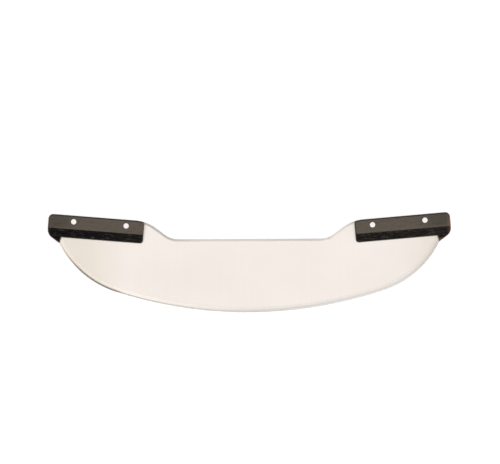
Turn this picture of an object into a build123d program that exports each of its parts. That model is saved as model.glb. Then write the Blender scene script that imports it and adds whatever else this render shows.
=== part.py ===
from build123d import *
import os
from math import acos, atan2, cos, degrees, radians, sin

# A rocking pizza knife, lying on the flat faces of its rear handle scales.
# X runs along the blade, Y from the cutting edge towards the handles, Z up.
# Outlines are drawn with the middle of the spine at the origin, and every piece is
# then set along Y so that the middle of the knife's outline is over the origin.

# Blade. The cutting edge runs along a long rocking arc, turns up along a shorter arc
# at each end and stops at a tip, this far in from the end and below the spine.
overall_length = 508.0
blade_depth = 92.7
blade_thickness = 2.0
rocking_radius = 546.0
end_radius = 120.5
tip_inset = 14.3
tip_drop = 4.4

# Ramps that rise from the spine to the handles, each with its foot this far in from
# the middle of its handle
foot_reach = 89.7
ramp_angle = 36.8
foot_radius = 27.4
shoulder_radius = 50.4

# How deep and how wide the spine and the ramps are eased on each face
spine_ease = 0.5
spine_ease_width = 3.0

# Grinding of the cutting edge: a broad bevel, then a narrow honed one
bevel_width = 5.5
bevel_edge_thickness = 1.0
hone_width = 1.8
edge_thickness = 0.2
grind_runout = 4.0

# Handles. The middle of each lies this far in from the end and above the spine.
handle_inset = 65.4
handle_lift = 13.35
handle_tilt = 4.75
handle_height = 28.6
handle_start = 55.6
end_cut_angle = 37.5
heel_radius = 12.0
top_corner_radius = 6.0
lower_corner_radius = 4.0
inner_corner_radius = 2.4
nib_lean = 1.85

# Handle scales
scale_thickness = 9.0
lower_edge_thickness = 5.0
facet_height = 11.5
rim_round = 2.0
rim_wall_share = 0.85
ridge_round = 4.0

# Rivets: a solid pin driven into a hollow socket, both with a flat head
rivet_pitch = 66.2
rivet_inset = 7.9
head_diameter = 7.0
head_thickness = 1.5
head_ease = 0.2
socket_diameter = 4.8
socket_bore = 3.2
socket_mouth_gap = 0.6
socket_mouth_ease = 0.2
pin_tip_gap = 1.2
pin_tip_lead = 0.5

# Clearances of the rivet in its hole and of the pin in its socket
rivet_clearance = 0.1
pin_clearance = 0.05

# How far a cut runs past what it cuts, and how upright a wall has to be
overrun = 1.0
upright_slack = 0.01

# Lines and points of the outline
end_x = overall_length / 2
handle_middle = end_x - handle_inset
spine_half_length = handle_middle - foot_reach
handle_axes = Plane(
    origin=(handle_middle, handle_lift),
    x_dir=(cos(radians(handle_tilt)), sin(radians(handle_tilt))),
)
top_line = Axis(
    handle_axes.from_local_coords((0, handle_height / 2)), handle_axes.x_dir
)
foot = Vector(spine_half_length, 0)
ramp_line = Axis(foot, (cos(radians(ramp_angle)), sin(radians(ramp_angle))))
shoulder = ramp_line.intersect(top_line)

# The end arc touches the rocking arc from inside and runs through the tip. Angles
# along the cutting edge are counted from straight down.
tip = Vector(end_x - tip_inset, -tip_drop)
rocking_centre = Vector(0, rocking_radius - blade_depth)
centre_gap = rocking_radius - end_radius
tip_gap = (tip - rocking_centre).length
swing = acos((centre_gap**2 + tip_gap**2 - end_radius**2) / (2 * centre_gap * tip_gap))
end_arc_start = degrees(atan2(tip.X, rocking_centre.Y - tip.Y) - swing)
end_centre = rocking_centre + Vector(0, -centre_gap).rotate(Axis.Z, end_arc_start)
end_arc_turn = degrees(atan2(tip.X - end_centre.X, end_centre.Y - tip.Y)) - end_arc_start

cut_direction = Vector(cos(radians(end_cut_angle)), sin(radians(end_cut_angle)))
heel_x = end_x - heel_radius
heel_rise = (heel_radius + (heel_x - tip.X) * cut_direction.Y) / cut_direction.X
heel_centre = Vector(heel_x, tip.Y + heel_rise)
end_line = Axis(heel_centre + handle_axes.x_dir * heel_radius, handle_axes.y_dir)
heel = Axis(tip, cut_direction).intersect(end_line)
top_corner = top_line.intersect(end_line)

# Where the rivets go, inner then outer, on the right-hand handle
rivet_rise = handle_height / 2 - rivet_inset
rivet_places = [
    handle_axes.from_local_coords((along, rivet_rise))
    for along in (-rivet_pitch / 2, rivet_pitch / 2)
]

# Outline of the whole knife, which the blade and its tangs fill
with BuildSketch() as knife_outline:
    with BuildLine():
        FilletPolyline(
            (0, 0),
            foot,
            shoulder,
            top_corner,
            heel,
            tip,
            radius=(foot_radius, shoulder_radius, top_corner_radius, heel_radius),
        )
        CenterArc(end_centre, end_radius, end_arc_start - 90, end_arc_turn)
        CenterArc(rocking_centre, rocking_radius, -90, end_arc_start)
        mirror(about=Plane.YZ)
    make_face()

# Outline of the right-hand handle scale: flush with the tang along its top and
# end, square across the blade, with a nib below that covers the edge's tip
inner_top = handle_axes.from_local_coords((-handle_start, handle_height))
inner_bottom = handle_axes.from_local_coords((-handle_start, -handle_height / 2))
tip_place = handle_axes.to_local_coords(tip)
nib_start = tip_place.X - nib_lean
nib_root = handle_axes.from_local_coords((nib_start, -handle_height / 2))
past_tip = tip + (tip - nib_root)
past_heel = handle_axes.from_local_coords((overall_length, -handle_height))
past_top = handle_axes.from_local_coords((overall_length, handle_height))
with BuildSketch() as scale_outline:
    add(knife_outline.sketch)
    with BuildLine():
        Polyline(
            inner_top, inner_bottom, nib_root, past_tip, past_heel, past_top, close=True
        )
    make_face(mode=Mode.INTERSECT)
    corners = scale_outline.vertices()
    fillet(corners.sort_by_distance(inner_bottom)[0], lower_corner_radius)
    inner_edge = Axis(inner_bottom, handle_axes.y_dir)
    fillet(
        scale_outline.vertices()
        .filter_by(lambda v: inner_edge.is_coaxial(Axis(v, handle_axes.y_dir)))
        .sort_by(Axis.Y)[-1],
        inner_corner_radius,
    )

# Levels of the stack, from the ground up
blade_back = scale_thickness
blade_front = blade_back + blade_thickness
stack_height = blade_front + scale_thickness
mid_level = stack_height / 2
outline_middle = knife_outline.sketch.bounding_box().center().Y
spine_level = -outline_middle


def level(height):
    """The plane of the outlines, at this height above the ground."""
    return Plane((0, spine_level, height))


def section(place, direction, height):
    """The upright plane that holds this direction, drawn from a place in the outlines."""
    seat = level(height).from_local_coords(place)
    return Plane(seat, x_dir=direction, z_dir=direction.cross(Vector(0, 0, 1)))


# Blade: the outline, with its spine eased and its edge ground from both faces. The
# tangs are then filled out to full thickness again, under the scales.
tip_turn = end_arc_turn + grind_runout
left_end_centre = Vector(-end_centre.X, end_centre.Y)
grinds = [
    (rocking_centre, rocking_radius, -end_arc_start, 2 * end_arc_start),
    (end_centre, end_radius, end_arc_start, tip_turn),
    (left_end_centre, end_radius, -end_arc_start - tip_turn, tip_turn),
]
rivet_hole = socket_diameter / 2 + rivet_clearance
with BuildPart() as blade:
    with BuildSketch(level(blade_back)):
        add(knife_outline.sketch)
    extrude(amount=blade_thickness)
    for face_place in (0, -1):
        face = blade.faces().sort_by(Axis.Z)[face_place]
        spine_edges = (
            face.edges()
            .filter_by_position(Axis.X, -shoulder.X - overrun, shoulder.X + overrun)
            .filter_by_position(Axis.Y, spine_level - overrun, spine_level + shoulder.Y)
        )
        chamfer(spine_edges, spine_ease_width, spine_ease, reference=face)
    for centre, radius, start, turn in grinds:
        outward = Vector(0, -1).rotate(Axis.Z, start)
        with BuildSketch(section(centre, outward, mid_level)):
            with BuildLine():
                Polyline(
                    (radius - bevel_width, blade_thickness / 2),
                    (radius - hone_width, bevel_edge_thickness / 2),
                    (radius, edge_thickness / 2),
                    (radius + overrun, edge_thickness / 2),
                    (radius + overrun, blade_thickness / 2 + overrun),
                    (radius - bevel_width, blade_thickness / 2 + overrun),
                    close=True,
                )
            make_face()
            mirror(about=Plane.XZ)
        pivot = Axis(level(mid_level).from_local_coords(centre), (0, 0, 1))
        revolve(axis=pivot, revolution_arc=turn, mode=Mode.SUBTRACT)
    with BuildSketch(level(blade_back)):
        add(scale_outline.sketch)
        mirror(about=Plane.YZ)
    extrude(amount=blade_thickness)
    with BuildSketch(level(blade_back)):
        with Locations(*rivet_places):
            Circle(rivet_hole)
        mirror(about=Plane.YZ)
    extrude(amount=blade_thickness, mode=Mode.SUBTRACT)

# Handle scale, as it lies on the blade's front face in the right-hand handle: a bar
# with a facet along its lower side, cut to the outline and rounded along its rim as
# far as its thinnest wall, at the nib, lets it be
ridge = facet_height - handle_height / 2
facet_slope = (scale_thickness - lower_edge_thickness) / facet_height
nib_thickness = scale_thickness - (ridge - tip_place.Y) * facet_slope
facet_foot = tip_place.Y - overrun
foot_thickness = nib_thickness - overrun * facet_slope
with BuildPart() as scale_blank:
    across = section(handle_axes.origin, handle_axes.y_dir, blade_front)
    with BuildSketch(across) as bar:
        with BuildLine():
            Polyline(
                (facet_foot, -overrun),
                (handle_height, -overrun),
                (handle_height, scale_thickness),
                (ridge, scale_thickness),
                (facet_foot, foot_thickness),
                close=True,
            )
        make_face()
        ridge_corner = bar.vertices().sort_by_distance((ridge, scale_thickness))[0]
        fillet(ridge_corner, ridge_round)
    extrude(amount=overall_length / 2, both=True)
    with BuildSketch(level(blade_front)):
        add(scale_outline.sketch)
    extrude(amount=scale_thickness + overrun, mode=Mode.INTERSECT)
    walls = scale_blank.faces().filter_by(
        lambda face: abs(face.normal_at().Z) < upright_slack
    )
    rim = (
        walls.edges()
        .filter_by(Axis.Z, reverse=True)
        .filter_by_position(Axis.Z, blade_front + overrun, stack_height + overrun)
    )
    fillet(rim, min(rim_round, nib_thickness * rim_wall_share))
    front = level(stack_height)
    with Locations(*[front.from_local_coords(place) for place in rivet_places]):
        counterbore = head_diameter / 2 + rivet_clearance
        CounterBoreHole(rivet_hole, counterbore, head_thickness)

# Rivet pin: a flat head in the front scale on a solid shank with a tapered tip
head_radius = head_diameter / 2
pin_radius = socket_bore / 2 - pin_clearance
pin_tip = head_thickness + pin_tip_gap
with BuildPart() as pin_blank:
    with BuildSketch(Plane.XZ):
        with BuildLine():
            Polyline(
                (0, stack_height),
                (head_radius - head_ease, stack_height),
                (head_radius, stack_height - head_ease),
                (head_radius, stack_height - head_thickness),
                (pin_radius, stack_height - head_thickness),
                (pin_radius, pin_tip + pin_tip_lead),
                (pin_radius - pin_tip_lead, pin_tip),
                (0, pin_tip),
                close=True,
            )
        make_face()
    revolve(axis=Axis.Z)

# Rivet socket: the same head in the rear scale, on a tube that takes the pin
tube_radius = socket_diameter / 2
bore_radius = socket_bore / 2
tube_mouth = stack_height - head_thickness - socket_mouth_gap
with BuildPart() as socket_blank:
    with BuildSketch(Plane.XZ):
        with BuildLine():
            Polyline(
                (0, 0),
                (head_radius - head_ease, 0),
                (head_radius, head_ease),
                (head_radius, head_thickness),
                (tube_radius, head_thickness),
                (tube_radius, tube_mouth),
                (bore_radius + socket_mouth_ease, tube_mouth),
                (bore_radius, tube_mouth - socket_mouth_ease),
                (bore_radius, head_thickness),
                (0, head_thickness),
                close=True,
            )
        make_face()
    revolve(axis=Axis.Z)

# The pieces, each under the name of its node: the blade, then for each handle its two
# scales, mirrored from the one above, and its inner and outer rivets
blade.part.label = "blade"
pieces = [blade.part]
for side, left in (("left", True), ("right", False)):
    for face, rear in (("front", False), ("rear", True)):
        with BuildPart() as scale:
            add(scale_blank.part)
            if left:
                mirror(about=Plane.YZ, mode=Mode.REPLACE)
            if rear:
                mirror(about=Plane.XY.offset(mid_level), mode=Mode.REPLACE)
        scale.part.label = f"{side}_{face}_scale"
        pieces.append(scale.part)
    for end, place in zip(("inner", "outer"), rivet_places):
        reach = -place.X if left else place.X
        for half, blank in (("pin", pin_blank), ("socket", socket_blank)):
            with BuildPart() as rivet:
                with Locations(level(0).from_local_coords((reach, place.Y))):
                    add(blank.part)
            rivet.part.label = f"{side}_{end}_rivet_{half}"
            pieces.append(rivet.part)

os.makedirs("parts", exist_ok=True)
for piece in pieces:
    export_step(piece, f"parts/{piece.label}.step")
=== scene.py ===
from math import atan2, cos, pi, radians, sin

import bmesh
import bpy
from bpy.props import FloatProperty, FloatVectorProperty, PointerProperty
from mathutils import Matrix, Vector


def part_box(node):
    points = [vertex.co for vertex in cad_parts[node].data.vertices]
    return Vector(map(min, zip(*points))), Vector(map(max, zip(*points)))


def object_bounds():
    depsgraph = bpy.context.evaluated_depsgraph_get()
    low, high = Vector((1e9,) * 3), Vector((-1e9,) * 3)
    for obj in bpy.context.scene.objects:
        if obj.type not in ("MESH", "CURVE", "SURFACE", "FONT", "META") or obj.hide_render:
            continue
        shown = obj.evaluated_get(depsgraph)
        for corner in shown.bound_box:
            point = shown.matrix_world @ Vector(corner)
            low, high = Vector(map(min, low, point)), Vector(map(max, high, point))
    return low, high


# The finishes of a rocking pizza knife, lying face up on a pale table: satin steel with
# a ground edge, black-stained wood scales and bright rivets. All sizes are in metres.

bl_info = {
    "name": "Rocking pizza knife",
    "version": (1, 0, 0),
    "blender": (4, 5, 0),
    "location": "View3D > Sidebar > Pizza knife",
    "description": "Finishes a double-handled rocking pizza knife and sets up its table",
    "category": "Object",
}

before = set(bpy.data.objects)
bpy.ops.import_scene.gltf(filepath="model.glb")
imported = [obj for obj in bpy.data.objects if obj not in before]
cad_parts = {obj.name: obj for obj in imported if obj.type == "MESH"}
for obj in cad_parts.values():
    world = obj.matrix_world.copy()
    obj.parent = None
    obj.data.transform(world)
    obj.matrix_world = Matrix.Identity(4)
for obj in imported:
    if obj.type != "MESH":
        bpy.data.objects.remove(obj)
cad_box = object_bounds()

SIDES = ("left", "right")
FACES = ("front", "rear")
ENDS = ("inner", "outer")
HALVES = ("pin", "socket")


def middle(node):
    """The middle of a CAD node's box."""
    low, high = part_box(node)
    return (low + high) / 2


class Wire:
    """An output socket of a node tree. Arithmetic on it adds Math nodes to the tree."""

    def __init__(self, tree, socket=None):
        self.tree = tree
        self.socket = socket

    def node(self, kind, settings, sockets, output=0):
        """Adds a node: its settings first, then the values or links of its sockets."""
        made = self.tree.nodes.new(kind)
        for name, value in settings.items():
            setattr(made, name, value)
        for name, value in sockets.items():
            plug(made.inputs[name], value)
        return Wire(self.tree, made.outputs[output])

    def math(self, operation, *values):
        """A Math node on these values, which may be wires or numbers."""
        sockets = dict(enumerate(values))
        return self.node("ShaderNodeMath", {"operation": operation}, sockets)

    def __add__(self, other):
        return self.math("ADD", self, other)

    def __sub__(self, other):
        return self.math("SUBTRACT", self, other)

    def __mul__(self, other):
        return self.math("MULTIPLY", self, other)

    def __rsub__(self, other):
        return self.math("SUBTRACT", other, self)

    def __gt__(self, other):
        return self.math("GREATER_THAN", self, other)

    def __lt__(self, other):
        return self.math("LESS_THAN", self, other)

    __radd__ = __add__
    __rmul__ = __mul__

    def fade(self, start, end, low=0.0, high=1.0):
        """A smooth step from low, where the wire is at start, to high at end."""
        settings = {"interpolation_type": "SMOOTHSTEP"}
        sockets = {0: self, 1: start, 2: end, 3: low, 4: high}
        return self.node("ShaderNodeMapRange", settings, sockets)

    def swing(self, size):
        """Noise from 0 to 1 as a swing of this size about its middle."""
        return (self - 0.5) * size

    def axes(self):
        """The three components of a vector."""
        split = self.node("ShaderNodeSeparateXYZ", {}, {0: self}).socket.node
        return [Wire(self.tree, output) for output in split.outputs]

    def noise(self, scales, shift=0.0, detail=3.0, rough=0.5):
        """Noise from 0 to 1, with these counts per metre along the three axes."""
        place = self.node("ShaderNodeMapping", {}, {"Vector": self, "Scale": scales})
        settings = {"noise_dimensions": "4D"}
        sockets = {"Vector": place, "W": shift, "Scale": 1.0}
        sockets |= {"Detail": detail, "Roughness": rough}
        return self.node("ShaderNodeTexNoise", settings, sockets)

    def grain(self, along, across, **more):
        """Noise with one count along the first axis and another along the other two."""
        return self.noise((along, across, across), **more)

    def mix(self, first, second, blend="MIX"):
        """A colour between two, with the wire as its share of the second."""
        settings = {"data_type": "RGBA", "blend_type": blend}
        sockets = {0: self, 6: first, 7: second}
        return self.node("ShaderNodeMix", settings, sockets, output=2)


def plug(socket, value):
    """Links a wire to a socket, or sets the socket to a number, vector or colour."""
    if isinstance(value, Wire):
        value.tree.links.new(value.socket, socket)
    elif socket.type == "RGBA" and len(value) == 3:
        socket.default_value = (*value, 1.0)
    else:
        socket.default_value = value


def new_finish(name, sockets):
    """A material with these constants on its shader, and a wire of its coordinates."""
    material = bpy.data.materials.new(name)
    material.use_nodes = True
    tree = material.node_tree
    for socket, value in sockets.items():
        plug(tree.nodes["Principled BSDF"].inputs[socket], value)
    place = Wire(tree).node("ShaderNodeTexCoord", {}, {}, "Object")
    return material, place


def shaded(colour, share):
    """A colour made lighter by this share of itself, or darker by a negative one."""
    return tuple((1.0 + share) * part for part in colour)


def finish_with(place, colour, rough, height, depth):
    """Leads a finish's colour, roughness and relief into its shader."""
    sockets = {"Strength": 1.0, "Distance": depth, "Height": height}
    relief = place.node("ShaderNodeBump", {}, sockets)
    shader = place.tree.nodes["Principled BSDF"]
    plug(shader.inputs["Base Color"], colour)
    plug(shader.inputs["Roughness"], rough)
    plug(shader.inputs["Normal"], relief)


def dress(node, material):
    """Gives a CAD node this material."""
    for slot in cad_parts[node].material_slots:
        slot.material = material


class BladeFinish(bpy.types.PropertyGroup):
    """Sizes and colours of the blade's finish."""

    steel: FloatVectorProperty(
        name="Steel",
        description="Colour of the satin face of the blade",
        subtype="COLOR",
        size=3,
        min=0.0,
        max=1.0,
        default=(0.58, 0.536, 0.50),
    )
    edge: FloatVectorProperty(
        name="Ground edge",
        description="Colour of the bright bevel behind the cutting edge",
        subtype="COLOR",
        size=3,
        min=0.0,
        max=1.0,
        default=(0.58, 0.54, 0.50),
    )
    # Painted shade: the bevel is darker towards the right end of the blade, standing in for
    # the light falling off there
    right_edge_shade: FloatVectorProperty(
        name="Coarse grinding",
        description="Colour along the edge on the right, where the grinding is coarser",
        subtype="COLOR",
        size=3,
        min=0.0,
        max=1.0,
        default=(0.39, 0.377, 0.363),
    )
    # Painted highlight: the honed band is painted brighter towards the left end of the
    # blade
    hone_and_highlight: FloatVectorProperty(
        name="Honed band",
        description="Colour of the honed band at its left end, where it is brightest",
        subtype="COLOR",
        size=3,
        min=0.0,
        max=1.0,
        default=(0.80, 0.74, 0.68),
    )
    # Painted highlight: a lighter band along the straight spine
    spine_highlight: FloatVectorProperty(
        name="Eased spine",
        description="Colour of the eased band along the spine, where it is brightest",
        subtype="COLOR",
        size=3,
        min=0.0,
        max=1.0,
        default=(0.70, 0.645, 0.60),
    )
    # Painted shadow: a brownish dark line along the left end of the cutting edge, standing
    # in for the shadow that the blade casts there
    edge_shadow: FloatVectorProperty(
        name="Edge stain",
        description="Colour of the brown stain along the left end of the cutting edge",
        subtype="COLOR",
        size=3,
        min=0.0,
        max=1.0,
        default=(0.41, 0.35, 0.317),
    )
    # Painted shade with clouds of tarnish: the steel is darker towards both tips, standing
    # in for the light falling off there
    tip_shade_and_tarnish: FloatVectorProperty(
        name="Tarnish",
        description="Tint of the steel where it has dulled towards the tips",
        subtype="COLOR",
        size=3,
        min=0.0,
        max=1.0,
        default=(0.885, 0.87, 0.82),
    )
    tip_shade_middle: FloatProperty(
        name="Tarnish middle",
        description="Where the steel is cleanest, along the blade from its middle",
        default=0.02,
        unit="LENGTH",
    )
    tip_shade_start: FloatProperty(
        name="Tarnish start",
        description="How far from the cleanest place the tarnish starts",
        default=0.17,
        unit="LENGTH",
    )
    tip_shade_end: FloatProperty(
        name="Tarnish end",
        description="Where the tarnish is strongest, as a share of half the blade's length",
        default=0.95,
        min=0.0,
        max=1.0,
    )
    rough: FloatProperty(
        name="Roughness",
        description="How dull the satin face is",
        default=0.34,
        min=0.05,
        max=1.0,
    )
    rocking_radius: FloatProperty(
        name="Rocking radius",
        description="Radius of the long arc of the cutting edge",
        default=0.546,
        unit="LENGTH",
    )
    end_radius: FloatProperty(
        name="End radius",
        description="Radius of the arcs at the ends of the cutting edge",
        default=0.1205,
        unit="LENGTH",
    )
    end_angle: FloatProperty(
        name="End angle",
        description="Where the end arcs start, counted from the middle of the edge",
        default=radians(18.0),
        subtype="ANGLE",
    )
    bevel_width: FloatProperty(
        name="Bevel width",
        description="Width of the ground bevel",
        default=0.0055,
        unit="LENGTH",
    )
    bevel_run: FloatProperty(
        name="Bevel run",
        description="How far the bevel runs up past the handles' nibs",
        default=0.007,
        unit="LENGTH",
    )
    hone_width: FloatProperty(
        name="Hone width",
        description="Width of the honed band along the cutting edge",
        default=0.0018,
        unit="LENGTH",
    )
    # Where the painted highlight on the honed band fades in, along the blade
    hone_highlight_start: FloatProperty(
        name="Hone start",
        description="Where the honed band starts to get brighter, along the blade",
        default=0.03,
        unit="LENGTH",
    )
    hone_highlight_end: FloatProperty(
        name="Hone end",
        description="Where the honed band is at its brightest, along the blade",
        default=-0.14,
        unit="LENGTH",
    )
    spine_level: FloatProperty(
        name="Spine level",
        description="Where the straight spine lies, across the blade",
        default=0.0301,
        unit="LENGTH",
    )
    # The band of painted highlight along the spine is this wide
    spine_width: FloatProperty(
        name="Spine width",
        description="Width of the eased band along the spine",
        default=0.003,
        unit="LENGTH",
    )
    spine_reach: FloatProperty(
        name="Spine reach",
        description="How far the straight spine runs to either side of the middle",
        default=0.098,
        unit="LENGTH",
    )
    # Where the painted shade on the bevel reaches, in from the edge and along the blade
    right_shade_depth: FloatProperty(
        name="Coarse depth",
        description="How far in from the edge the coarser grinding starts to show",
        default=0.0080,
        unit="LENGTH",
    )
    right_shade_start: FloatProperty(
        name="Coarse start",
        description="Where the grinding starts to get coarser, along the blade",
        default=-0.16,
        unit="LENGTH",
    )
    right_shade_end: FloatProperty(
        name="Coarse end",
        description="Where the grinding is at its coarsest, along the blade",
        default=0.06,
        unit="LENGTH",
    )
    # Where the painted shadow along the left end of the cutting edge lies
    shadow_inner: FloatProperty(
        name="Stain inner end",
        description="Where the edge stain starts, along the blade",
        default=-0.155,
        unit="LENGTH",
    )
    shadow_outer: FloatProperty(
        name="Stain outer end",
        description="Where the edge stain ends, along the blade",
        default=-0.238,
        unit="LENGTH",
    )
    shadow_rise: FloatProperty(
        name="Stain rise",
        description="How far the stain takes to reach its full strength at its inner end",
        default=0.018,
        unit="LENGTH",
    )
    shadow_fall: FloatProperty(
        name="Stain fall",
        description="How far the stain takes to fade away at its outer end",
        default=0.03,
        unit="LENGTH",
    )
    shadow_depth: FloatProperty(
        name="Stain depth",
        description="How far in from the cutting edge the stain reaches",
        default=0.0038,
        unit="LENGTH",
    )
    line_width: FloatProperty(
        name="Line width",
        description="Width of the satin lines",
        default=0.0004,
        unit="LENGTH",
    )
    line_depth: FloatProperty(
        name="Line depth",
        description="Depth of the satin lines",
        default=0.000004,
        unit="LENGTH",
        precision=6,
    )


class WoodFinish(bpy.types.PropertyGroup):
    """Sizes and colours of the handle scales' finish."""

    dark: FloatVectorProperty(
        name="Stain",
        description="Colour of the stained wood between its streaks",
        subtype="COLOR",
        size=3,
        min=0.0,
        max=1.0,
        default=(0.002, 0.002, 0.004),
    )
    streak: FloatVectorProperty(
        name="Streaks",
        description="Colour of the lighter streaks of the grain",
        subtype="COLOR",
        size=3,
        min=0.0,
        max=1.0,
        default=(0.011, 0.009, 0.010),
    )
    # Wear and painted highlight: the stain is rubbed thin on the nibs and outer ends, and
    # the stronger rub on the right also stands in for the light falling on that side
    bare_wood_and_highlight: FloatVectorProperty(
        name="Bare wood",
        description="Colour of the wood where the stain is rubbed thin",
        subtype="COLOR",
        size=3,
        min=0.0,
        max=1.0,
        default=(0.20, 0.075, 0.028),
    )
    left_wear: FloatProperty(
        name="Left wear",
        description="How far the stain is rubbed off the left handle's nib and end",
        default=0.25,
        min=0.0,
        max=1.0,
    )
    # The right handle's higher share is partly a painted highlight from the light on the
    # right
    right_wear_and_highlight: FloatProperty(
        name="Right wear",
        description="How far the stain is rubbed off the right handle's nib and end",
        default=0.9,
        min=0.0,
        max=1.0,
    )
    sheen: FloatVectorProperty(
        name="Sheen",
        description="Colour of the light that the sealed wood reflects",
        subtype="COLOR",
        size=3,
        min=0.0,
        max=1.0,
        default=(1.0, 0.83, 0.65),
    )
    worn_end: FloatProperty(
        name="Worn end",
        description="How far in from its outer end a handle is rubbed",
        default=0.004,
        unit="LENGTH",
    )
    polish_start: FloatProperty(
        name="Polish start",
        description="How far in from a handle's outer end the grip's polish starts",
        default=0.002,
        unit="LENGTH",
    )
    polish_end: FloatProperty(
        name="Polish end",
        description="How far in from a handle's outer end the polish is complete",
        default=0.045,
        unit="LENGTH",
    )
    nib_start: FloatProperty(
        name="Nib start",
        description="How far below a handle's middle the wear of the nib starts",
        default=0.0125,
        unit="LENGTH",
    )
    nib_end: FloatProperty(
        name="Nib end",
        description="How far below a handle's middle the nib is fully worn",
        default=0.0185,
        unit="LENGTH",
    )
    facet_end: FloatProperty(
        name="Facet end",
        description="How far below a handle's middle the smoother facet is reached",
        default=0.0055,
        unit="LENGTH",
    )
    # Painted shadow: the foot along each handle's lower edge is darkened where it meets the
    # blade
    foot_shadow_start: FloatProperty(
        name="Foot start",
        description="How far below a handle's middle the dark foot starts",
        default=0.0105,
        unit="LENGTH",
    )
    foot_shadow_end: FloatProperty(
        name="Foot end",
        description="How far below a handle's middle the foot is fully dark",
        default=0.0135,
        unit="LENGTH",
    )
    rough: FloatProperty(
        name="Roughness",
        description="How dull the sealed wood is",
        default=0.20,
        min=0.05,
        max=1.0,
    )
    pore_depth: FloatProperty(
        name="Pore depth",
        description="Depth of the open pores",
        default=0.00006,
        unit="LENGTH",
        precision=6,
    )


class RivetFinish(bpy.types.PropertyGroup):
    """Sizes and colours of the rivets' finish."""

    metal: FloatVectorProperty(
        name="Metal",
        description="Colour of the rivet heads",
        subtype="COLOR",
        size=3,
        min=0.0,
        max=1.0,
        default=(0.57, 0.54, 0.53),
    )
    rough: FloatProperty(
        name="Roughness",
        description="How dull the rivet heads are",
        default=0.24,
        min=0.05,
        max=1.0,
    )
    line_depth: FloatProperty(
        name="Line depth",
        description="Depth of the sanding lines across the heads",
        default=0.000004,
        unit="LENGTH",
        precision=6,
    )


class StageSettings(bpy.types.PropertyGroup):
    """Sizes and colours of the table, the lights and the camera."""

    table: FloatVectorProperty(
        name="Table",
        description="Colour of the table",
        subtype="COLOR",
        size=3,
        min=0.0,
        max=1.0,
        default=(0.5, 0.5, 0.5),
    )
    table_reach: FloatProperty(
        name="Table reach",
        description="How far the table runs from its middle",
        default=20.0,
        unit="LENGTH",
    )
    glow: FloatProperty(
        name="Glow",
        description="Brightness of the lit table's own light",
        default=0.75,
        min=0.0,
    )
    overhead: FloatProperty(
        name="Overhead light",
        description="Brightness of the large soft light overhead",
        default=1.81,
        min=0.0,
    )
    side: FloatProperty(
        name="Side light",
        description="Brightness of the soft light on the right",
        default=2.0,
        min=0.0,
    )
    overhead_size: FloatVectorProperty(
        name="Overhead size",
        description="Width and depth of the overhead light",
        size=2,
        default=(6.4, 4.1),
        unit="LENGTH",
    )
    overhead_place: FloatVectorProperty(
        name="Overhead place",
        description="Where the overhead light hangs",
        subtype="TRANSLATION",
        size=3,
        default=(-0.175, -0.303, 5.2),
        unit="LENGTH",
    )
    side_size: FloatVectorProperty(
        name="Side size",
        description="Width and depth of the light on the right",
        size=2,
        default=(2.8, 2.0),
        unit="LENGTH",
    )
    side_place: FloatVectorProperty(
        name="Side place",
        description="Where the light on the right stands",
        subtype="TRANSLATION",
        size=3,
        default=(2.75, 0.2, 1.8),
        unit="LENGTH",
    )
    fill: FloatProperty(
        name="Fill",
        description="Brightness of the room above its walls",
        default=0.045,
        min=0.0,
    )
    walls: FloatProperty(
        name="Walls",
        description="Brightness of the pale walls all round",
        default=0.75,
        min=0.0,
    )
    wall_foot: FloatProperty(
        name="Wall foot",
        description="Height up to which the walls are brightest, as a share of straight up",
        default=0.50,
        min=0.0,
        max=1.0,
    )
    wall_top: FloatProperty(
        name="Wall top",
        description="Height where the walls end, as a share of straight up",
        default=0.64,
        min=0.0,
        max=1.0,
    )
    lens: FloatProperty(
        name="Lens",
        description="Focal length of the camera, in millimetres",
        default=250.0,
        min=10.0,
    )
    view_width: FloatProperty(
        name="View width",
        description="Width of what the camera sees at the height of the blade",
        default=0.6306,
        unit="LENGTH",
    )
    aim_x: FloatProperty(
        name="Aim along",
        description="Where the camera looks, along the knife",
        default=0.0008,
        unit="LENGTH",
    )
    aim_y: FloatProperty(
        name="Aim across",
        description="Where the camera looks, across the knife",
        default=0.0387,
        unit="LENGTH",
    )
    roll: FloatProperty(
        name="Roll",
        description="How far the camera is rolled, which sets the knife's left side lower",
        default=radians(-0.27),
        subtype="ANGLE",
    )


# Patterns of the blade's steel, in counts per metre. The satin's lines and bands are drawn
# out across the blade, and the cuts of the grinding are drawn out square to the edge.
LINE_BREAKS = 20.0
BAND_BREAKS = 4.0
CUT_BREAKS = 40.0
STEEL_CLOUDS = (11.0, 17.0, 11.0)

# A band of the satin is as wide as this many lines
LINES_IN_BAND = 9

# Shares of lines, bands and clouds in the satin's shade, and how far the shades swing
SATIN_SHARES = (0.5, 0.3, 0.2)
SATIN_SHADE = 0.07
CUT_SHADE = 0.05

# How much of the painted shade towards the tips is even, and how much more the clouds of
# tarnish add to it
EVEN_TIP_SHADE = 0.7
CLOUDED_TARNISH = 0.6

# How the roughness swings, how much smoother the bevel is and how much duller the hone
STEEL_SWING = 0.10
BEVEL_POLISH = 0.12
HONE_GRIT = 0.05


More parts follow.
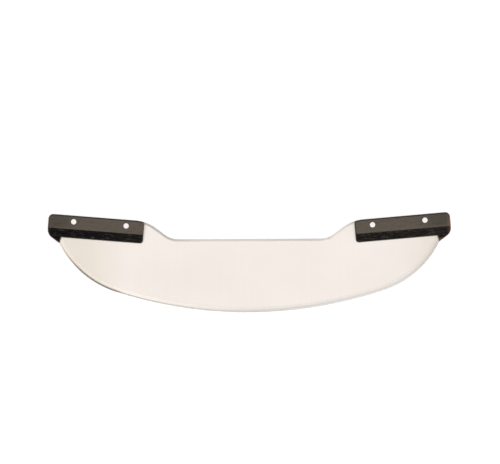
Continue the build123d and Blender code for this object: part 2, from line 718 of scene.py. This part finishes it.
class KNIFE_OT_blade(bpy.types.Operator):
    """Gives the blade its satin steel, with a brighter ground edge"""

    bl_idname = "knife.blade"
    bl_label = "Finish the blade"

    def execute(self, context):
        """Satin lines run from spine to edge, and grinding lines square to the edge."""
        look = context.scene.knife_blade
        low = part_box("blade")[0]
        tip_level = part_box("right_front_scale")[0].y
        steel, place = new_finish("satin_steel", {"Metallic": 1.0})
        x, y, z = place.axes()

        rocking_y = low.y + look.rocking_radius
        end_gap = look.rocking_radius - look.end_radius
        end_x = end_gap * sin(look.end_angle)
        end_y = rocking_y - end_gap * cos(look.end_angle)

        # How far in from the cutting edge a point lies, and how far along it
        reach = x.math("ABSOLUTE", x)
        angle = x.math("ARCTAN2", reach, rocking_y - y)
        on_end = angle > look.end_angle
        along = reach - on_end * end_x
        down = rocking_y + on_end * (end_y - rocking_y) - y
        radius = look.rocking_radius - on_end * end_gap
        inside = radius - x.math("SQRT", along * along + down * down)
        arc = radius * x.math("ARCTAN2", along, down)
        below_tip = y < tip_level + look.bevel_run
        soft = look.line_width
        bevel = inside.fade(look.bevel_width + soft, look.bevel_width - soft) * below_tip
        hone_and_highlight = inside.fade(look.hone_width + soft, look.hone_width - soft) * below_tip

        per_line = 1 / look.line_width
        lines = place.noise((per_line, LINE_BREAKS, per_line), detail=2.0)
        bands = place.grain(per_line / LINES_IN_BAND, BAND_BREAKS, shift=3.0, detail=2.0)
        clouds = place.noise(STEEL_CLOUDS, shift=7.0, detail=3.0)
        edge_place = place.node("ShaderNodeCombineXYZ", {}, {0: arc, 1: inside, 2: z})
        cuts = edge_place.grain(per_line, CUT_BREAKS, shift=11.0, detail=2.0)

        line_share, band_share, cloud_share = SATIN_SHARES
        satin = (lines * line_share + bands * band_share + clouds * cloud_share).mix(
            shaded(look.steel, -SATIN_SHADE), shaded(look.steel, SATIN_SHADE)
        )
        # Painted highlight along the straight spine, fading in from its left end
        spine_foot = look.spine_level - look.spine_width
        spine = y.fade(spine_foot - soft, spine_foot + soft) * (reach < look.spine_reach)
        spine = spine * x.fade(-look.spine_reach, -look.spine_reach / 2)
        satin = spine.mix(satin, look.spine_highlight)
        fresh = cuts.mix(shaded(look.edge, -CUT_SHADE), shaded(look.edge, CUT_SHADE))
        # Painted highlight on the honed band, brightest towards the left end
        highlit_bevel = (hone_and_highlight * x.fade(look.hone_highlight_start, look.hone_highlight_end)).mix(fresh, look.hone_and_highlight)
        # Painted shade on the bevel, deepest near the edge and towards the right
        deep = inside.fade(look.right_shade_depth, look.hone_width) * (1.0 - hone_and_highlight)
        right_edge_shade = x.fade(look.right_shade_start, look.right_shade_end) * deep
        # Painted shadow along the left end of the cutting edge
        shadow_spread = x.fade(look.shadow_inner, look.shadow_inner - look.shadow_rise)
        shadow_spread = shadow_spread * x.fade(look.shadow_outer, look.shadow_outer + look.shadow_fall)
        tinted = shadow_spread * inside.fade(look.shadow_depth, look.shadow_depth / 2)
        ground = tinted.mix(right_edge_shade.mix(bevel.mix(satin, highlit_bevel), look.right_edge_shade), look.edge_shadow)
        # Painted shade towards the tips, with clouds of tarnish
        away = x.math("ABSOLUTE", x - look.tip_shade_middle)
        dull = away.fade(look.tip_shade_start, -low.x * look.tip_shade_end)
        dull = dull * (EVEN_TIP_SHADE + clouds * CLOUDED_TARNISH)
        colour = dull.mix(ground, look.tip_shade_and_tarnish, "MULTIPLY")

        rough = look.rough + lines.swing(STEEL_SWING) + clouds.swing(STEEL_SWING)
        rough = rough - bevel * (BEVEL_POLISH + cuts.swing(STEEL_SWING)) + hone_and_highlight * HONE_GRIT
        height = lines + (cuts - lines) * bevel
        finish_with(place, colour, rough, height, look.line_depth)
        dress("blade", steel)
        return {"FINISHED"}


def handle_place(place, side):
    """Coordinates of a handle: outwards along it, up across it, and through it."""
    inner = middle(f"{side}_inner_rivet_pin")
    outer = middle(f"{side}_outer_rivet_pin")
    outwards = 1 if side == "right" else -1
    along = (outer - inner) * outwards
    settings = {"vector_type": "TEXTURE"}
    sockets = {
        "Vector": place,
        "Location": middle(f"{side}_front_scale"),
        "Rotation": (0.0, 0.0, atan2(along.y, along.x)),
        "Scale": (outwards, 1.0, 1.0),
    }
    return place.node("ShaderNodeMapping", settings, sockets)


# Patterns of the wood, in counts per metre along and across its grain, and the levels
# of their noise between which the pores open and the streaks turn lighter
FIBRES = (9.0, 330.0)
WOOD_CLOUDS = (22.0, 60.0, 60.0)
FINE_FIBRES = (60.0, 2200.0)
PORES = (110.0, 1700.0)
PORE_LEVELS = (0.60, 0.70)
STREAK_LEVELS = (0.34, 0.66)

# Shares of fibres and clouds in the streaks, and of the dark stain in the open pores
FIBRE_SHARE, CLOUD_SHARE = 0.7, 0.3
PORE_STAIN = 0.6

# Each scale is cut this far from the last one in the same wood
NEXT_CUT = 5.0

# How far the clouds shift the borders of the worn end, the polish, the nib and the painted
# shadow along the foot, and how far past its end a handle would be fully worn, all in
# metres
END_WANDER = 0.004
POLISH_WANDER = 0.02
NIB_WANDER = 0.003
FOOT_SHADOW_WANDER = 0.001
PAST_END = 0.002

# How strongly the end is worn beside the nib
END_WEAR = 0.5

# How strongly the sealed wood mirrors the light
WOOD_SHINE = 0.77

# What the fine fibres, the pores, the facet and the unpolished end do to the roughness,
# and what the fibres, the fine fibres and the pores do to the relief
FINE_SWING = 0.14
PORE_DULLNESS = 0.15
FACET_POLISH = 0.05
END_DULLNESS = 0.23
FIBRE_RELIEF, FINE_RELIEF, PORE_RELIEF = 0.35, 0.15, 0.5


class KNIFE_OT_scales(bpy.types.Operator):
    """Gives the four handle scales their black-stained wood"""

    bl_idname = "knife.scales"
    bl_label = "Finish the handle scales"

    def execute(self, context):
        """Each scale has its own cut of the same wood."""
        look = context.scene.knife_wood
        for number, (side, face) in enumerate((s, f) for s in SIDES for f in FACES):
            node = f"{side}_{face}_scale"
            wood, place = new_finish(
                f"stained_wood_{side}_{face}",
                {"Specular IOR Level": WOOD_SHINE, "Specular Tint": look.sheen},
            )
            low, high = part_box(node)
            half_length = (high.x - low.x) / 2
            local = handle_place(place, side)
            along, across, _ = local.axes()
            cut = NEXT_CUT * number
            fibres = local.grain(*FIBRES, shift=cut, detail=4.0, rough=0.6)
            clouds = local.noise(WOOD_CLOUDS, shift=cut + 1.0, detail=2.0)
            fine = local.grain(*FINE_FIBRES, shift=cut + 2.0, detail=2.0)
            pores = local.grain(*PORES, shift=cut + 3.0, detail=1.0)
            pore = pores.fade(*PORE_LEVELS)
            grain = (fibres * FIBRE_SHARE + clouds * CLOUD_SHARE).fade(*STREAK_LEVELS)
            tinted = grain.mix(look.dark, look.streak)

            # Wear on the outer ends and the nibs, and on the right also a painted highlight
            end = along + clouds * END_WANDER
            end = end.fade(half_length - look.worn_end, half_length + PAST_END)
            handled = along + clouds * POLISH_WANDER
            handled = handled.fade(
                half_length - look.polish_start, half_length - look.polish_end
            )
            nib = (across + clouds * NIB_WANDER).fade(-look.nib_start, -look.nib_end)
            wear_and_highlight = look.right_wear_and_highlight if side == "right" else look.left_wear
            worn_and_lit = end.math("MAXIMUM", end * END_WEAR, nib * (along > 0.0)) * wear_and_highlight
            facet = across.fade(0.0, -look.facet_end)
            # Painted shadow along the foot of the handle, where it meets the blade
            foot = across + clouds * FOOT_SHADOW_WANDER
            foot = foot.fade(-look.foot_shadow_start, -look.foot_shadow_end) * (1.0 - worn_and_lit)
            tinted = worn_and_lit.mix(tinted, look.bare_wood_and_highlight)
            tinted = (pore * PORE_STAIN).mix(tinted, look.dark)
            colour = foot.mix(tinted, look.dark)

            rough = look.rough + fine.swing(FINE_SWING) + pore * PORE_DULLNESS
            rough = rough - facet * FACET_POLISH
            rough = rough + (1.0 - handled) * (1.0 - facet) * END_DULLNESS
            height = fibres * FIBRE_RELIEF + fine * FINE_RELIEF - pore * PORE_RELIEF
            finish_with(place, colour, rough, height, look.pore_depth)
            dress(node, wood)
        return {"FINISHED"}


# Patterns of the rivets' metal, in counts per metre: lines of sanding along and across
# the handle, and dull clouds
SANDING = (120.0, 4200.0)
RIVET_CLOUDS = (260.0, 260.0, 260.0)

# Shares of the lines and the clouds in the metal's shade, how much darker it gets, and
# how its roughness swings
SANDING_SHARE, DULL_SHARE = 0.6, 0.4
METAL_SHADE = 0.12
METAL_SWING = 0.16


class KNIFE_OT_rivets(bpy.types.Operator):
    """Gives the rivets their bright metal, sanded flush along the handles"""

    bl_idname = "knife.rivets"
    bl_label = "Finish the rivets"

    def execute(self, context):
        """The sanding lines run along each handle."""
        look = context.scene.knife_rivets
        for side in SIDES:
            metal, place = new_finish(f"bright_rivet_{side}", {"Metallic": 1.0})
            local = handle_place(place, side)
            lines = local.grain(*SANDING, detail=2.0)
            dull = local.noise(RIVET_CLOUDS, shift=4.0, detail=2.0)
            shade = lines * SANDING_SHARE + dull * DULL_SHARE
            colour = shade.mix(shaded(look.metal, -METAL_SHADE), look.metal)
            rough = look.rough + dull.swing(METAL_SWING)
            finish_with(place, colour, rough, lines, look.line_depth)
            for end in ENDS:
                for half in HALVES:
                    dress(f"{side}_{end}_rivet_{half}", metal)
        return {"FINISHED"}


def add_light(name, brightness, size, place):
    """A rectangular soft light of this brightness, facing the middle of the knife."""
    light = bpy.data.lights.new(name, "AREA")
    light.shape = "RECTANGLE"
    light.size, light.size_y = size
    light.energy = brightness * pi * light.size * light.size_y
    holder = bpy.data.objects.new(name, light)
    holder.location = place
    holder.rotation_euler = Vector(place).to_track_quat("Z", "Y").to_euler()
    bpy.context.scene.collection.objects.link(holder)


# Cells along each side of the table's mesh
TABLE_CELLS = 8

# Roughness of the table's acrylic, and how strongly it mirrors the light
TABLE_ROUGHNESS = 0.55
TABLE_SHINE = 0.2

# The acrylic's fine specks, in counts per metre, how much darker and how much duller they
# make it, and their depth in metres
SPECKS = (900.0, 900.0, 900.0)
SPECK_SHADE = 0.015
SPECK_DULLNESS = 0.1
SPECK_DEPTH = 0.00002


class KNIFE_OT_stage(bpy.types.Operator):
    """Sets up the pale table, the soft light overhead and the camera"""

    bl_idname = "knife.stage"
    bl_label = "Set up the table, lights and camera"

    def execute(self, context):
        """The camera looks straight down, as in the photograph."""
        scene = context.scene
        look = scene.knife_stage

        mesh = bpy.data.meshes.new("table")
        build = bmesh.new()
        bmesh.ops.create_grid(
            build, x_segments=TABLE_CELLS, y_segments=TABLE_CELLS, size=look.table_reach
        )
        bmesh.ops.translate(build, verts=build.verts, vec=(0.0, 0.0, cad_box[0].z))
        build.to_mesh(mesh)
        build.free()
        table = bpy.data.objects.new("table", mesh)
        scene.collection.objects.link(table)
        laminate, place = new_finish(
            "lit_white_acrylic",
            {
                "Specular IOR Level": TABLE_SHINE,
                "Emission Color": (1.0, 1.0, 1.0),
                "Emission Strength": look.glow,
            },
        )
        specks = place.noise(SPECKS, detail=2.0)
        colour = specks.mix(shaded(look.table, -SPECK_SHADE), look.table)
        rough = TABLE_ROUGHNESS + specks * SPECK_DULLNESS
        finish_with(place, colour, rough, specks, SPECK_DEPTH)
        mesh.materials.append(laminate)

        add_light("overhead", look.overhead, look.overhead_size, look.overhead_place)
        add_light("side", look.side, look.side_size, look.side_place)

        world = bpy.data.worlds.new("room")
        world.use_nodes = True
        tree = world.node_tree
        background = tree.nodes["Background"]
        sight = Wire(tree).node("ShaderNodeLightPath", {}, {}, "Is Camera Ray")
        rise = Wire(tree).node("ShaderNodeTexCoord", {}, {}, "Generated").axes()[2]
        room = rise.fade(look.wall_top, look.wall_foot, look.fill, look.walls)
        plug(background.inputs["Color"], (1.0, 1.0, 1.0))
        plug(background.inputs["Strength"], room + sight * (1.0 - room))
        scene.world = world

        data = bpy.data.cameras.new("camera")
        data.lens = look.lens
        camera = bpy.data.objects.new("camera", data)
        blade_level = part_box("blade")[1].z
        distance = look.view_width * look.lens / data.sensor_width
        camera.location = (look.aim_x, look.aim_y, blade_level + distance)
        camera.rotation_euler = (0.0, 0.0, look.roll)
        scene.collection.objects.link(camera)
        scene.camera = camera
        scene.view_settings.view_transform = "Standard"
        return {"FINISHED"}


class KNIFE_PT_panel(bpy.types.Panel):
    """Lists the steps that finish the knife"""

    bl_idname = "KNIFE_PT_panel"
    bl_label = "Rocking pizza knife"
    bl_space_type = "VIEW_3D"
    bl_region_type = "UI"
    bl_category = "Pizza knife"

    def draw(self, context):
        """One button for each step, over the sizes and colours that it reads."""
        for operator, group in STEPS:
            self.layout.operator(operator.bl_idname)
            settings = getattr(context.scene, group)
            for name in settings.bl_rna.properties.keys():
                if name in settings.__annotations__:
                    self.layout.prop(settings, name)


STEPS = (
    (KNIFE_OT_blade, "knife_blade"),
    (KNIFE_OT_scales, "knife_wood"),
    (KNIFE_OT_rivets, "knife_rivets"),
    (KNIFE_OT_stage, "knife_stage"),
)
SETTINGS = {
    "knife_blade": BladeFinish,
    "knife_wood": WoodFinish,
    "knife_rivets": RivetFinish,
    "knife_stage": StageSettings,
}
CLASSES = (*SETTINGS.values(), *(operator for operator, _ in STEPS), KNIFE_PT_panel)


def register():
    """Registers the classes and puts their settings on the scene."""
    for item in CLASSES:
        bpy.utils.register_class(item)
    for name, group in SETTINGS.items():
        setattr(bpy.types.Scene, name, PointerProperty(type=group))


def unregister():
    """Takes the settings off the scene and unregisters the classes."""
    for name in SETTINGS:
        delattr(bpy.types.Scene, name)
    for item in reversed(CLASSES):
        bpy.utils.unregister_class(item)


def main():
    """Runs the steps in order."""
    register()
    bpy.ops.knife.blade()
    bpy.ops.knife.scales()
    bpy.ops.knife.rivets()
    bpy.ops.knife.stage()


if __name__ == "__main__":
    main()
